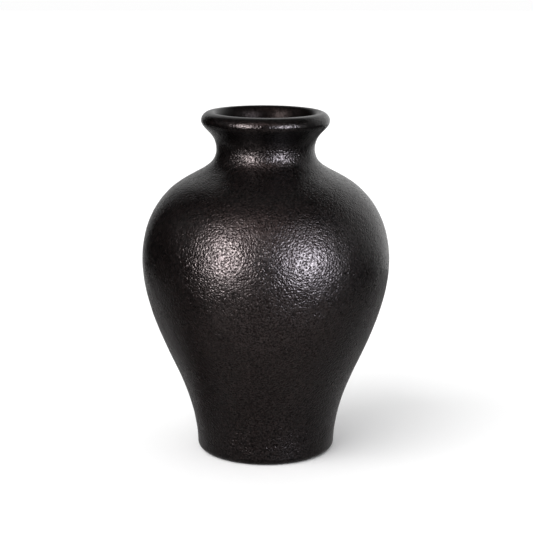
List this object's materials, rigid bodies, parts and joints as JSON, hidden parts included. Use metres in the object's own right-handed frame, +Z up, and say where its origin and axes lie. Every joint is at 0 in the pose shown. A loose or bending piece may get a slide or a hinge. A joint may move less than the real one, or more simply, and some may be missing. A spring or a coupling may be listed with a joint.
{
  "type": "clay pot",
  "caption": "Round black clay pot with a wide shoulder, short neck, rolled out-turned lip and narrow foot; open at the top, it stands on its foot and holds flowers, grain or water.",
  "frame": {"origin": "on the table under the pot's axis, at the plane of the foot ring's rest face", "axes": "+Z up along the axis of the pot, out of the mouth; +X and +Y level, the pot is the same all round"},
  "size_m": [0.1802, 0.1802, 0.25],
  "materials": {
    "black_clay": "reduction-fired black clay, semi-gloss, with a fine leathery orange-peel relief outside and a smooth burnished throat"
  },
  "bodies": {
    "root": {"floor_disc": "black_clay", "foot_ring": "black_clay", "corner_coil": "black_clay", "lower_wall": "black_clay", "belly_wall": "black_clay", "shoulder_wall": "black_clay", "neck_collar": "black_clay", "rim_roll": "black_clay"}
  },
  "joints": []
}
